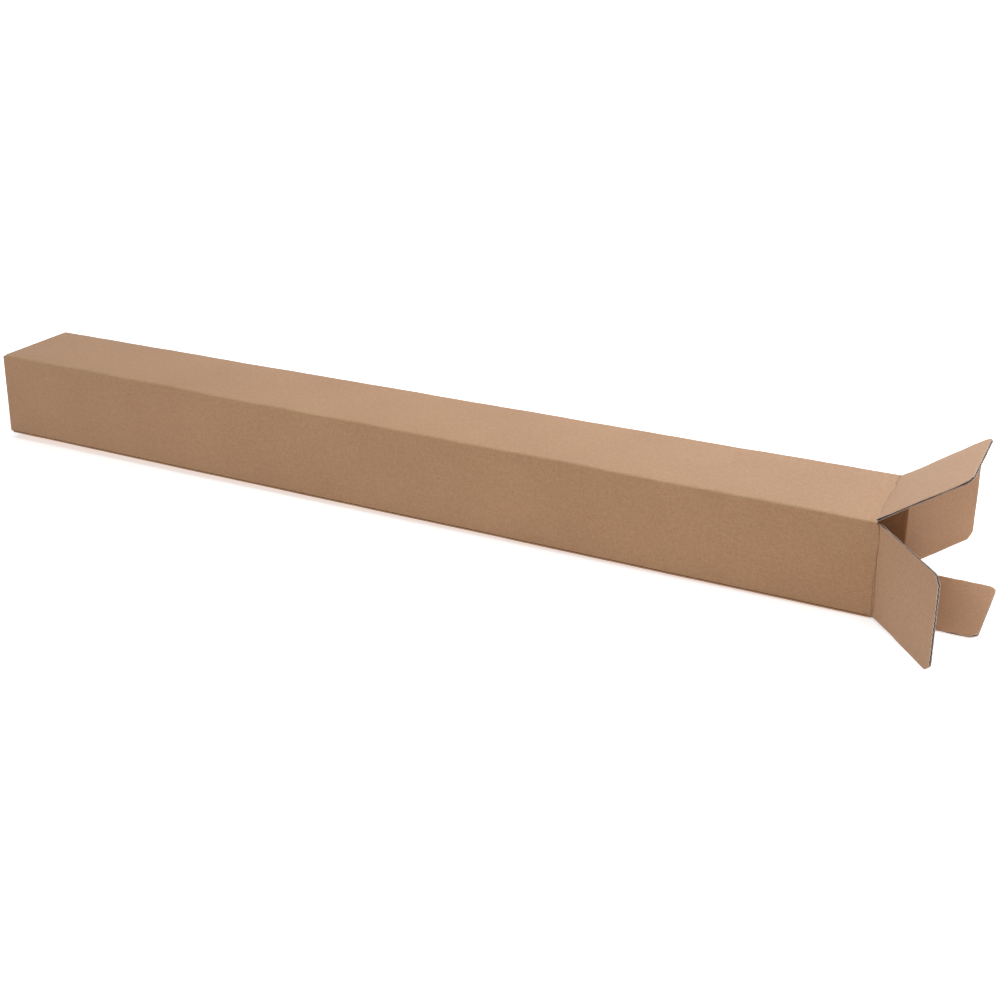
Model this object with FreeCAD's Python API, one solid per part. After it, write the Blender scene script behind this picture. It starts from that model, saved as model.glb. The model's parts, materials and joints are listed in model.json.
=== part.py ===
import FreeCAD, Part
import math
import os

# Long square-section mailing box of corrugated kraft board, lying on its bottom panel.
# Origin: centre of the underside. +X points to the open end, +Y to the back, +Z up. Millimetres.

# Box, outside sizes
LENGTH = 1200.0
WIDTH = 120.0
HEIGHT = 115.0

# Board: two liners with a wavy medium between them
BOARD = 3.0
LINER = 0.45
MEDIUM = 0.35
FLUTE_PITCH = 6.35
# A channel spans this share of a wave on each side of its middle; the medium is bonded over the rest
CHANNEL_SHARE = 0.4
# A channel whose middle lies this share of a wave beyond the flap's side is still cut open by it
EDGE_SHARE = 0.35

# Folds, seam and closed end
FOLD_RADIUS = 3.0
CLOSED_LAYERS = 4
TAB_WIDTH = 35.0
TAB_SETBACK = 6.0
SEAM_GAP = 0.8
SEAM_DEPTH = 1.2

# Flaps, their free corners cut off slantwise
FLAP_CORNER = 7.5
CREASE_GAP = 0.2
LAYER_GAP = 0.3
SIDE_GAP = 0.4
TIP_GAP = 0.5
CRUSHED_CREASE = 6.0

# How far each flap stands open, in degrees from straight out along the box
TOP_OPEN = 35.0
FRONT_OPEN = 48.0
BACK_OPEN = 61.0
BOTTOM_OPEN = 0.0

# Places worked out from the sizes
HALF_LENGTH = LENGTH / 2.0
HALF_WIDTH = WIDTH / 2.0
HALF_BOARD = BOARD / 2.0
INSIDE_HALF_WIDTH = HALF_WIDTH - BOARD
INSIDE_TOP = HEIGHT - BOARD
FAR_FACE = -HALF_LENGTH
FLAP_INSET = BOARD + SIDE_GAP

# The four creases step outward by one layer, so that the closed flaps lie flat on each other:
# top flap innermost, then bottom, front and back
LAYER_STEP = BOARD + LAYER_GAP
TOP_CREASE = HALF_LENGTH
BOTTOM_CREASE = TOP_CREASE + LAYER_STEP
FRONT_CREASE = BOTTOM_CREASE + LAYER_STEP
BACK_CREASE = FRONT_CREASE + LAYER_STEP
WALL_SETBACK = HALF_BOARD + CREASE_GAP

# A closed flap reaches across the mouth and stops short of the opposite panel
SIDE_FLAP_LENGTH = WIDTH - HALF_BOARD - BOARD - TIP_GAP
LID_FLAP_LENGTH = HEIGHT - HALF_BOARD - BOARD - TIP_GAP
SIDE_FLAP_WIDTH = HEIGHT - 2.0 * FLAP_INSET
LID_FLAP_WIDTH = WIDTH - 2.0 * FLAP_INSET

X_AXIS = FreeCAD.Vector(1, 0, 0)
Y_AXIS = FreeCAD.Vector(0, 1, 0)
Z_AXIS = FreeCAD.Vector(0, 0, 1)
ORIGIN = FreeCAD.Vector(0, 0, 0)


def block(x_range, y_range, z_range):
    """A box between three pairs of limits."""
    size = [pair[1] - pair[0] for pair in (x_range, y_range, z_range)]
    corner = FreeCAD.Vector(x_range[0], y_range[0], z_range[0])
    return Part.makeBox(size[0], size[1], size[2], corner)


def edges_where(solid, wanted):
    """The straight edges for which wanted(middle, direction) is true."""
    chosen = []
    for edge in solid.Edges:
        start, end = edge.Vertexes[0].Point, edge.Vertexes[-1].Point
        if wanted((start + end) * 0.5, (end - start).normalize()):
            chosen.append(edge)
    return chosen


def outer_sleeve():
    """The four panels as a full block, its long folds and far-end folds rounded."""
    far_fold = FAR_FACE + BOARD
    sleeve = block((far_fold, BACK_CREASE - WALL_SETBACK), (-HALF_WIDTH, HALF_WIDTH), (0.0, HEIGHT))

    def is_fold(middle, direction):
        along_box = abs(direction.x) > 0.9
        at_far_end = middle.x < far_fold + 0.1
        under_far_flap = at_far_end and middle.y < 0.1 - HALF_WIDTH
        return (along_box or at_far_end) and not under_far_flap

    return sleeve.makeFillet(FOLD_RADIUS, edges_where(sleeve, is_fold))


def far_flap():
    """The outermost flap of the glued far end: it turns in from the front panel."""
    free_edge = INSIDE_HALF_WIDTH
    plate = block((FAR_FACE, FAR_FACE + BOARD + FOLD_RADIUS),
                  (-HALF_WIDTH, free_edge), (FLAP_INSET, HEIGHT - FLAP_INSET))

    def is_front_fold(middle, direction):
        return middle.x < FAR_FACE + 0.1 and middle.y < 0.1 - HALF_WIDTH

    def is_free_corner(middle, direction):
        return abs(direction.x) > 0.9 and middle.y > free_edge - 0.1

    plate = plate.makeFillet(FOLD_RADIUS, edges_where(plate, is_front_fold))
    return plate.makeChamfer(FLAP_CORNER, edges_where(plate, is_free_corner))


def glue_tab():
    """The maker's joint: a strip of the bottom panel, turned up and glued inside the front panel."""
    return block((FAR_FACE + BOARD, TOP_CREASE - TAB_SETBACK),
                 (-INSIDE_HALF_WIDTH - HALF_BOARD, -INSIDE_HALF_WIDTH + BOARD),
                 (HALF_BOARD, BOARD + TAB_WIDTH))


def box_body():
    """The folded and glued sheet without its four open flaps."""
    beyond = 2.0 * BACK_CREASE
    wide = 2.0 * WIDTH
    tall = 2.0 * HEIGHT
    body = outer_sleeve()
    inside = block((FAR_FACE + CLOSED_LAYERS * BOARD, beyond),
                   (-INSIDE_HALF_WIDTH, INSIDE_HALF_WIDTH), (BOARD, INSIDE_TOP))
    body = body.cut(inside)
    top_end = block((TOP_CREASE - WALL_SETBACK, beyond), (-wide, wide), (INSIDE_TOP, tall))
    bottom_end = block((BOTTOM_CREASE - WALL_SETBACK, beyond), (-wide, wide), (-tall, BOARD))
    front_end = block((FRONT_CREASE - WALL_SETBACK, beyond), (-wide, -INSIDE_HALF_WIDTH), (-tall, tall))
    body = body.cut([top_end, bottom_end, front_end])
    body = body.fuse([far_flap(), glue_tab()])
    seam = block((FAR_FACE + BOARD, beyond), (-wide, -HALF_WIDTH + SEAM_DEPTH),
                 (FOLD_RADIUS, FOLD_RADIUS + SEAM_GAP))
    return body.cut(seam).removeSplitter()


def channel_outline(centre, side):
    """The open space of half a wave, in the flap's cross-section.

    side is 1 for a channel under the upper liner, -1 for one over the lower liner."""
    half_core = HALF_BOARD - LINER
    swing = half_core - MEDIUM / 2.0
    steps = 5
    points = [FreeCAD.Vector(0, centre - CHANNEL_SHARE * FLUTE_PITCH, side * half_core)]
    for step in range(steps + 1):
        share = CHANNEL_SHARE * (2.0 * step / steps - 1.0)
        height = MEDIUM / 2.0 - swing * math.cos(2.0 * math.pi * share)
        points.append(FreeCAD.Vector(0, centre + share * FLUTE_PITCH, side * height))
    points.append(FreeCAD.Vector(0, centre + CHANNEL_SHARE * FLUTE_PITCH, side * half_core))
    points.append(points[0])
    return points


def flute_channels(length, width):
    """All channels of a flap: they run out of its free edge, and its two sides cut some open."""
    half_pitch = FLUTE_PITCH / 2.0
    reach = int(math.ceil(width / FLUTE_PITCH)) + 1
    channels = []
    for index in range(-reach, reach + 1):
        centre = (index + 0.25) * half_pitch
        side = 1 if index % 2 == 0 else -1
        if abs(centre) < width / 2.0 + EDGE_SHARE * FLUTE_PITCH:
            face = Part.Face(Part.makePolygon(channel_outline(centre, side)))
            channel = face.extrude(X_AXIS * (length - CRUSHED_CREASE + 1.0))
            channel.translate(X_AXIS * CRUSHED_CREASE)
            channels.append(channel)
    return channels


def flap(length, width):
    """A flap lying along +X, its crease axis on the Y axis at half the board's thickness."""
    half_width = width / 2.0
    plate = block((0.0, length), (-half_width, half_width), (-HALF_BOARD, HALF_BOARD))

    def is_outer_corner(middle, direction):
        return abs(direction.z) > 0.9 and middle.x > length - 0.1

    plate = plate.makeChamfer(FLAP_CORNER, edges_where(plate, is_outer_corner))
    root = Part.makeCylinder(HALF_BOARD, width, FreeCAD.Vector(0, -half_width, 0), Y_AXIS)
    board = plate.fuse(root).removeSplitter()
    return board.cut(flute_channels(length, width))


def lid_flap(crease_x, crease_z, opening):
    """Top or bottom flap: its crease runs along Y, and it opens upward by a positive angle."""
    solid = flap(LID_FLAP_LENGTH, LID_FLAP_WIDTH)
    solid.rotate(ORIGIN, Y_AXIS, -opening)
    solid.translate(FreeCAD.Vector(crease_x, 0, crease_z))
    return solid


def side_flap(crease_x, crease_y, opening):
    """Front or back flap: its crease runs along Z, and it turns to the back by a positive angle."""
    solid = flap(SIDE_FLAP_LENGTH, SIDE_FLAP_WIDTH)
    solid.rotate(ORIGIN, X_AXIS, 90.0)
    solid.rotate(ORIGIN, Z_AXIS, opening)
    solid.translate(FreeCAD.Vector(crease_x, crease_y, HEIGHT / 2.0))
    return solid


SOLIDS = {
    "box_body": box_body(),
    "top_flap": lid_flap(TOP_CREASE, HEIGHT - HALF_BOARD, TOP_OPEN),
    "bottom_flap": lid_flap(BOTTOM_CREASE, HALF_BOARD, BOTTOM_OPEN),
    "front_flap": side_flap(FRONT_CREASE, -HALF_WIDTH + HALF_BOARD, -FRONT_OPEN),
    "back_flap": side_flap(BACK_CREASE, HALF_WIDTH - HALF_BOARD, BACK_OPEN),
}

os.makedirs("parts", exist_ok=True)
for name, shape in SOLIDS.items():
    shape.exportStep("parts/" + name + ".step")
    box = shape.BoundBox
    print(name, len(shape.Solids), "solid", round(shape.Volume / 1000.0, 2), "cm3", shape.isValid(),
          [round(value, 1) for value in (box.XMin, box.XMax, box.YMin, box.YMax, box.ZMin, box.ZMax)])
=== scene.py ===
# %% [markdown]
# # A long corrugated mailing box
#
# The box is one sheet of brown corrugated board, folded into a long square sleeve. One end is glued
# shut. At the other end four flaps stand open, and each one turns on its crease. This lesson dresses
# the plain CAD solids as real board: two paper liners with a wavy medium between them, creases where
# the board is crushed, and a matt paper finish.

# %% Load the frame
import json
import math

import bpy
import numpy as np
from mathutils import Matrix, Vector


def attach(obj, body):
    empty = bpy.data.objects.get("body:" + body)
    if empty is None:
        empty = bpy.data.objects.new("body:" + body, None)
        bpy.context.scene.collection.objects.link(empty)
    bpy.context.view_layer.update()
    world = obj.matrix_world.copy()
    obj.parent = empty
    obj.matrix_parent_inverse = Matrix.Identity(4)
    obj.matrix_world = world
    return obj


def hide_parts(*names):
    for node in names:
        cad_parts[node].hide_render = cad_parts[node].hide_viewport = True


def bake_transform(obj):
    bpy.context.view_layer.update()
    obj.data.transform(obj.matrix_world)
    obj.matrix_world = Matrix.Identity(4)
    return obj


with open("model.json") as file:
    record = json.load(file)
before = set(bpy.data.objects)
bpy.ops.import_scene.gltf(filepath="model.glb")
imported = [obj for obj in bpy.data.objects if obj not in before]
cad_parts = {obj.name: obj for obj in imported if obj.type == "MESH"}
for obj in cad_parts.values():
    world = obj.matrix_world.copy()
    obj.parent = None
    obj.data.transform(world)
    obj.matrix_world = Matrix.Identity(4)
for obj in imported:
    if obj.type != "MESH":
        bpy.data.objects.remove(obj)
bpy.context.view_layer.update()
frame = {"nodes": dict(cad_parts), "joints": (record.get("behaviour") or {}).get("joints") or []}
JOINTS = {joint["name"]: joint for joint in frame["joints"]}

# %% [markdown]
# ## The camera
#
# A camera can be placed by eye, or worked out from the picture's perspective. Here its place, turn and
# lens were fitted on the box's corners and on the flaps' edges, because a box this long shows every
# degree of error. The turn is stored as three angles: how far the camera looks round the box, how far
# it looks down, and how far it leans.

# %% The camera
MM = 0.001
PICTURE_SIDE = 1000.0
SENSOR = 36.0
FOCAL_PIXELS = 1454.0
LOOK_ROUND, LOOK_DOWN, LEAN = (math.radians(angle) for angle in (-28.0, 26.54, -2.13))
BOX_FROM_CAMERA = Vector((-120.97, -6.37, 1833.0)) * MM


def turn(angle, axis):
    """A turn about one axis, as a 3 x 3 matrix."""
    return Matrix.Rotation(angle, 3, axis)


to_picture_axes = Matrix(((1, 0, 0), (0, 0, -1), (0, 1, 0)))
box_to_camera = turn(LEAN, "Z") @ turn(LOOK_DOWN, "X") @ to_picture_axes @ turn(LOOK_ROUND, "Z")
camera_data = bpy.data.cameras.new("camera")
camera_data.sensor_width = SENSOR
camera_data.lens = FOCAL_PIXELS / PICTURE_SIDE * SENSOR
camera = bpy.data.objects.new("camera", camera_data)
camera_place = -(box_to_camera.transposed() @ BOX_FROM_CAMERA)
camera_turn = box_to_camera.transposed() @ Matrix.Diagonal((1, -1, -1))
camera.matrix_world = Matrix.LocRotScale(camera_place, camera_turn, None)
bpy.context.scene.collection.objects.link(camera)
bpy.context.scene.camera = camera
print("camera at", [round(value, 3) for value in camera.location], "lens", round(camera_data.lens, 2))

# %% [markdown]
# ## The lamps
#
# The real box was lit in a white studio, with the strongest light above its open end. A very wide sun
# stands for the bright ceiling, a key lamp hangs over the open end, and a back lamp lights the flaps'
# inner faces. A large lamp gives soft shadows, because its light comes from many sides at once. The
# ceiling and the key lamp are slightly cool, so that the board's brown doesn't turn orange.

# %% The lamps
COOL_LIGHT = (0.92, 0.985, 1.03)
CEILING_STRENGTH, CEILING_ANGLE = 1.05, math.radians(75.0)
KEY_WATTS, KEY_SIZE = 17.5, 1.2
BACK_WATTS, BACK_SIZE = 57.0, 2.2


def add_lamp(name, kind, place, target, energy, **settings):
    """Adds a lamp that faces its target."""
    data = bpy.data.lights.new(name, kind)
    data.energy = energy
    for setting, value in settings.items():
        setattr(data, setting, value)
    lamp = bpy.data.objects.new(name, data)
    lamp.location = place
    lamp.rotation_mode = "QUATERNION"
    lamp.rotation_quaternion = (Vector(target) - Vector(place)).to_track_quat("-Z", "Y")
    bpy.context.scene.collection.objects.link(lamp)


add_lamp("studio_ceiling", "SUN", (-0.06, 0.36, 3.0), (0.0, 0.0, 0.0), CEILING_STRENGTH,
         angle=CEILING_ANGLE, color=COOL_LIGHT)
add_lamp("key_lamp", "AREA", (0.5, 0.3, 1.6), (0.4, 0.0, 0.1), KEY_WATTS, size=KEY_SIZE, color=COOL_LIGHT)
add_lamp("back_lamp", "AREA", (0.3, 3.2, 1.7), (0.2, 0.0, 0.1), BACK_WATTS, size=BACK_SIZE)
bpy.context.scene.view_settings.view_transform = "Standard"

# %% [markdown]
# ## A small language for node trees
#
# Materials and Geometry Nodes are both made of nodes joined by links. Written out link by link, a
# formula gets long and hard to read. The class below wraps a node's output, so that ordinary Python
# maths on it adds the Math nodes. Any other node comes from one method: its type, its settings, and
# then the values or links of its sockets.

# %% Maths on a node's output


class Socket:
    """A node's output. Maths on it adds Math nodes to the same tree."""

    def __init__(self, tree, socket):
        self.tree = tree
        self.socket = socket

    def _maths(self, operation, *values):
        return self.tree.node("ShaderNodeMath", {"operation": operation}, dict(enumerate(values)))[0]

    def __add__(self, other):
        return self._maths("ADD", self, other)

    def __sub__(self, other):
        return self._maths("SUBTRACT", self, other)

    def __rsub__(self, other):
        return self._maths("SUBTRACT", other, self)

    def __mul__(self, other):
        return self._maths("MULTIPLY", self, other)

    def __truediv__(self, other):
        return self._maths("DIVIDE", self, other)

    def __rtruediv__(self, other):
        return self._maths("DIVIDE", other, self)

    def __neg__(self):
        return self * -1.0

    def __abs__(self):
        return self._maths("ABSOLUTE", self)

    def __gt__(self, other):
        return self._maths("GREATER_THAN", self, other)

    def __lt__(self, other):
        return self._maths("LESS_THAN", self, other)

    __radd__ = __add__
    __rmul__ = __mul__

    def sin(self):
        return self._maths("SINE", self)

    def cos(self):
        return self._maths("COSINE", self)

    def sqrt(self):
        return self._maths("SQRT", self)

    def at_least(self, floor):
        return self._maths("MAXIMUM", self, floor)

    def at_most(self, ceiling):
        return self._maths("MINIMUM", self, ceiling)

    def clamped(self):
        return self.at_least(0.0).at_most(1.0)

    def smooth_step(self, start, end):
        """0 before start, 1 after end, and a soft S between them."""
        share = ((self - start) / (end - start)).clamped()
        return share * share * (3.0 - 2.0 * share)

    def bell(self, width):
        """1 where the value is 0, falling off softly over the width."""
        share = self / width
        return self._maths("EXPONENT", -(share * share))


# %% Nodes and trees


class Node:
    """A node whose outputs are read by name or number."""

    def __init__(self, tree, node):
        self.tree = tree
        self.node = node

    def __getitem__(self, output):
        return Socket(self.tree, self.node.outputs[output])


class Tree:
    """A material's or a modifier's node tree."""

    def __init__(self, tree):
        self.tree = tree

    def node(self, kind, settings=None, inputs=None):
        """Adds a node: its settings first, then the values or links of its sockets."""
        node = self.tree.nodes.new(kind)
        for name, value in (settings or {}).items():
            if name == "stops":
                self.set_stops(node.color_ramp, value)
            else:
                setattr(node, name, value)
        for name, value in (inputs or {}).items():
            if isinstance(value, Node):
                value = value[0]
            if isinstance(value, Socket):
                self.tree.links.new(value.socket, node.inputs[name])
            else:
                node.inputs[name].default_value = value
        return Node(self, node)

    def set_stops(self, ramp, stops):
        while len(ramp.elements) < len(stops):
            ramp.elements.new(0.5)
        for element, (place, colour) in zip(ramp.elements, stops):
            element.position = place
            element.color = colour

    def join(self, geometries):
        """Joins several geometries into one."""
        join = self.tree.nodes.new("GeometryNodeJoinGeometry")
        for geometry in reversed(geometries):
            self.tree.links.new(geometry[0].socket, join.inputs[0])
        return Node(self, join)

    def stored(self, geometry, domain, name, kind, value):
        """The geometry with one more named attribute."""
        return self.node("GeometryNodeStoreNamedAttribute", {"data_type": kind, "domain": domain},
                         {"Geometry": geometry, "Name": name, "Value": value})

    def attribute(self, name, output="Fac"):
        """A named attribute of the mesh, read in a material."""
        return self.node("ShaderNodeAttribute", {"attribute_name": name})[output]

    def vector(self, x, y, z):
        return self.node("ShaderNodeCombineXYZ", None, {"X": x, "Y": y, "Z": z})[0]

    def parts(self, vector):
        split = self.node("ShaderNodeSeparateXYZ", None, {"Vector": vector})
        return split["X"], split["Y"], split["Z"]

    def scaled(self, vector, factors):
        """A vector with each of its parts multiplied."""
        return self.node("ShaderNodeVectorMath", {"operation": "MULTIPLY"}, {0: vector, 1: factors})[0]

    def noise(self, vector, scale, detail=2.0, roughness=0.5):
        """Soft random values around 0.5."""
        inputs = {"Vector": vector, "Scale": scale, "Detail": detail, "Roughness": roughness}
        return self.node("ShaderNodeTexNoise", {"noise_dimensions": "3D"}, inputs)["Fac"]

    def mix(self, factor, first, second):
        """One colour where the factor is 0, the other where it is 1."""
        return self.node("ShaderNodeMix", {"data_type": "RGBA"}, {0: factor, 6: first, 7: second})[2]

    def bump(self, height, strength, distance):
        """A relief that only the light shows."""
        inputs = {"Strength": strength, "Distance": distance, "Height": height}
        return self.node("ShaderNodeBump", None, inputs)


print("node language ready")

# %% [markdown]
# ## The paper finish
#
# Kraft liner is brown paper made of long wood fibres. From a distance it looks plain, but it is
# cloudy over a few millimetres, streaked finely along the paper machine's direction, and dotted
# with a few dark and pale specks. Over a core with waves it also shows the faintest stripes, the
# washboard. The pattern could follow the object's coordinates, but then it would jump at each fold.
# So every piece carries an attribute named sheet: the place of each point on the flat sheet that the
# box was folded from. Other attributes say where the board is scored, whose darker line is partly
# dirt and partly painted shade; where its paper is rubbed, partly wear and partly a painted
# highlight; which faces lie in the channels inside the board or in the seam's groove and get painted
# shade; and which cut edges run along the waves.

# %% Colours of the papers
KRAFT = (0.388, 0.203, 0.097, 1.0)
KRAFT_PALE = (0.482, 0.273, 0.143, 1.0)
KRAFT_DEEP = (0.292, 0.142, 0.063, 1.0)
# Painted shade: the inner liner is tinted darker and warmer for the light that bounces round inside the
# box.
INNER_SHADE_TINT = (1.0, 0.94, 0.86)
COOL_TINT, WARM_TINT = (0.985, 1.005, 1.01), (1.012, 0.993, 0.985)
FIBRE_DARK = (0.150, 0.080, 0.042, 1.0)
FIBRE_PALE = (0.680, 0.510, 0.360, 1.0)
# Painted shade and dirt: the score line's dark brown is partly dirt in the pressed line and partly the
# shade of its groove.
SCORE_DIRT_AND_SHADE = (0.110, 0.055, 0.026, 1.0)
# The pale ochre of worn flap edges, and of the upper folds, where it is also a painted highlight.
RUBBED_OCHRE_AND_HIGHLIGHT = (0.560, 0.350, 0.180, 1.0)
# The medium's brown is darkened far past its paper's own colour, as painted shade of the channels.
CORE_SHADED_BROWN = (0.080, 0.047, 0.032, 1.0)
# Painted shade: the near black put on hidden faces in the waves' channels and in the seam's groove.
CHANNEL_SHADE = (0.022, 0.013, 0.010, 1.0)
CUT_GREY = (0.640, 0.505, 0.430, 1.0)
CUT_DARK = (0.145, 0.078, 0.058, 1.0)
PAPER_GLOSS, PAPER_SHEEN, SHEEN_ROUGHNESS = 0.45, 0.2, 0.5


# %% Starting and ending a material
def new_material(name):
    """An empty material and its tree."""
    material = bpy.data.materials.new(name)
    material.use_nodes = True
    material.node_tree.nodes.clear()
    return material, Tree(material.node_tree)


def finish_material(tree, colour, roughness, normal):
    """Ends a material in one matt Principled shader."""
    inputs = {"Base Color": colour, "Roughness": roughness, "Normal": normal,
              "Specular IOR Level": PAPER_GLOSS, "Sheen Weight": PAPER_SHEEN,
              "Sheen Roughness": SHEEN_ROUGHNESS}
    shader = tree.node("ShaderNodeBsdfPrincipled", None, inputs)
    tree.node("ShaderNodeOutputMaterial", None, {"Surface": shader[0]})


# %% [markdown]
# ## Kraft liner
#
# Each pattern below is a noise with a scale, a detail and a roughness, and its share says how much it
# changes the paper's tone. The noise's values lie around 0.5, so taking 0.5 off leaves a swing to both
# sides. A colour ramp turns the tone into deep, middle and pale brown.

# %% Patterns of the liner
FULL_TURN = 2.0 * math.pi
FLUTE_PITCH = 6.35 * MM
BROAD_SHADES, BROAD_SHARE = (9.0, 2.0, 0.5), 0.35
CLOUDS, CLOUD_SHARE = (190.0, 4.0, 0.62), 0.65
GRAIN, GRAIN_SHARE = (560.0, 2.0, 0.6), 0.75
FIBRES, FIBRE_SHARE = (1150.0, 3.0, 0.65), 0.95
FIBRE_STRETCH = (0.35, 1.0, 1.0)
FINE_GRAIN = (2300.0, 2.0, 0.7)
WASHBOARD_SHARE = 0.012
WARM_PATCHES, WARM_EDGES = (320.0, 3.0, 0.6), (0.35, 0.65)
DARK_SPECKS = (0.6, 1.0, 1.0), (620.0, 1.0), (0.745, 0.80), 0.5, FIBRE_DARK
PALE_SPECKS = (1.0, 0.7, 1.3), (540.0, 1.0), (0.755, 0.81), 0.35, FIBRE_PALE
RUB_AND_HIGHLIGHT_PATCHES, RUB_AND_HIGHLIGHT_HIDDEN = 1.3, 0.85
DIRT_AND_SHADE_LEAST, DIRT_AND_SHADE_FIBRES = 0.55, 0.5
CLOUD_RELIEF, FIBRE_RELIEF, GRAIN_RELIEF, WAVE_RELIEF = 0.5, 0.6, 0.3, 0.10
PAPER_ROUGHNESS, CLOUD_ROUGHNESS, RUB_POLISH = 0.72, 0.18, 0.08
PAPER_BUMP = 0.45, 0.12 * MM


# %% Kraft liner
def kraft_liner():
    """Brown paper: clouds, fibres, specks and washboard; scores with dirt and painted shade, rubs with a
    painted highlight, channels with painted shade.
    """
    material, tree = new_material("kraft_liner")
    sheet = tree.attribute("sheet", "Vector")
    score, rub, inside = (tree.attribute(name) for name in ("score", "rub", "inside"))
    _, across, layer = tree.parts(sheet)
    broad, cloud, grain, fine = (
        tree.noise(sheet, *pattern) for pattern in (BROAD_SHADES, CLOUDS, GRAIN, FINE_GRAIN))
    fibre = tree.noise(tree.scaled(sheet, FIBRE_STRETCH), *FIBRES)
    wave = (across * (FULL_TURN / FLUTE_PITCH)).sin()
    tone = 0.5 + wave * WASHBOARD_SHARE
    for pattern, share in ((broad, BROAD_SHARE), (cloud, CLOUD_SHARE), (grain, GRAIN_SHARE),
                           (fibre, FIBRE_SHARE)):
        tone = tone + (pattern - 0.5) * share
    browns = (0.0, KRAFT_DEEP), (0.5, KRAFT), (1.0, KRAFT_PALE)
    colour = tree.node("ShaderNodeValToRGB", {"stops": browns}, {"Fac": tone.clamped()})["Color"]
    # Painted shade: the inner liner's faces get the darker, warmer tint.
    colour = tree.mix(layer < 0.0, colour, tree.scaled(colour, INNER_SHADE_TINT))
    warmth = tree.noise(sheet, *WARM_PATCHES).smooth_step(*WARM_EDGES)
    colour = tree.mix(warmth, tree.scaled(colour, COOL_TINT), tree.scaled(colour, WARM_TINT))
    for stretch, pattern, edges, strength, speck_colour in (DARK_SPECKS, PALE_SPECKS):
        specks = tree.noise(tree.scaled(sheet, stretch), *pattern).smooth_step(*edges)
        colour = tree.mix(specks * strength, colour, speck_colour)
    # Rubbed places: wear on the flaps' edges, and on the upper folds also a painted highlight.
    rubbed_and_highlight = rub * ((broad + fibre) * RUB_AND_HIGHLIGHT_PATCHES - RUB_AND_HIGHLIGHT_HIDDEN)
    colour = tree.mix(rubbed_and_highlight.clamped(), colour, RUBBED_OCHRE_AND_HIGHLIGHT)
    # The score line is darkened, partly as dirt and partly as painted shade of its groove.
    colour = tree.mix((score * (DIRT_AND_SHADE_LEAST + fibre * DIRT_AND_SHADE_FIBRES)).clamped(), colour, SCORE_DIRT_AND_SHADE)
    # Painted shade: the liners' faces inside the channels and in the seam's groove are painted near black.
    colour = tree.mix(inside, colour, CHANNEL_SHADE)
    relief = cloud * CLOUD_RELIEF + fibre * FIBRE_RELIEF + fine * GRAIN_RELIEF + wave * WAVE_RELIEF
    roughness = PAPER_ROUGHNESS + (cloud - 0.5) * CLOUD_ROUGHNESS - rub * RUB_POLISH
    finish_material(tree, colour, roughness.clamped(), tree.bump(relief, *PAPER_BUMP))
    return material


# %% [markdown]
# ## Cut edges and the medium
#
# A knife leaves the liners' edges paler, greyer and fuzzy. Where it ran along the waves it crushed
# them and the edge is darker, so the mesh says how near a point is to such an edge. The medium is
# thin recycled paper, darker than the liners, and its colour is darkened further as painted shade of
# the channels it lies in.

# %% Cut edges and the medium
FUZZ, FUZZ_EDGES = (900.0, 3.0, 0.7), (0.15, 0.5)
FRAYS, FRAY_EDGES = (160.0, 2.0), (0.5, 0.68)
FRAY_SHADE, ALONG_WAVES_SHADE = 0.25, 0.55
CUT_ROUGHNESS, CUT_BUMP = 0.92, (0.6, 0.1 * MM)
CORE_CLOUDS, CORE_EDGES = (260.0, 3.0, 0.6), (0.3, 0.7)
CORE_ROUGHNESS, CORE_BUMP = 0.9, (0.4, 0.1 * MM)


def cut_edge():
    """Raw cut paper: paler, greyer and fuzzy, and darker where the knife ran along the waves."""
    material, tree = new_material("cut_edge")
    place = tree.node("ShaderNodeTexCoord")["Object"]
    fuzz = tree.noise(place, *FUZZ)
    frayed = tree.noise(place, *FRAYS).smooth_step(*FRAY_EDGES)
    shade = frayed * FRAY_SHADE + tree.attribute("along_waves") * ALONG_WAVES_SHADE
    colour = tree.mix(fuzz.smooth_step(*FUZZ_EDGES), CUT_DARK, CUT_GREY)
    colour = tree.mix(shade.clamped(), colour, CUT_DARK)
    finish_material(tree, colour, CUT_ROUGHNESS, tree.bump(fuzz, *CUT_BUMP))
    return material


def wavy_core():
    """The medium: thinner recycled paper, darker than the liners, and darkened more with painted shade."""
    material, tree = new_material("wavy_core")
    cloud = tree.noise(tree.node("ShaderNodeTexCoord")["Object"], *CORE_CLOUDS)
    # Painted shade: the medium is painted in dark browns that stand in for the shade in its channels.
    colour = tree.mix(cloud.smooth_step(*CORE_EDGES), CORE_SHADED_BROWN, CHANNEL_SHADE)
    finish_material(tree, colour, CORE_ROUGHNESS, tree.bump(cloud, *CORE_BUMP))
    return material


KRAFT_LINER, CUT_EDGE, WAVY_CORE = kraft_liner(), cut_edge(), wavy_core()
print("materials", [m.name for m in (KRAFT_LINER, CUT_EDGE, WAVY_CORE)])

# %% [markdown]
# ## The floor
#
# The floor is one wide pale face that is lit until it is nearly white, so only the faintest shadow is
# left. It glows a little, which stands for the light that a real white sweep sends back.

# %% The floor
FLOOR_HALF, FLOOR_DROP = 15.0, 0.6 * MM
FLOOR_COLOUR, FLOOR_GLOW = (0.92, 0.92, 0.92, 1.0), 0.54
FLOOR_ROUGHNESS, FLOOR_GLOSS = 0.9, 0.1
WHITE = (1.0, 1.0, 1.0, 1.0)

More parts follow.
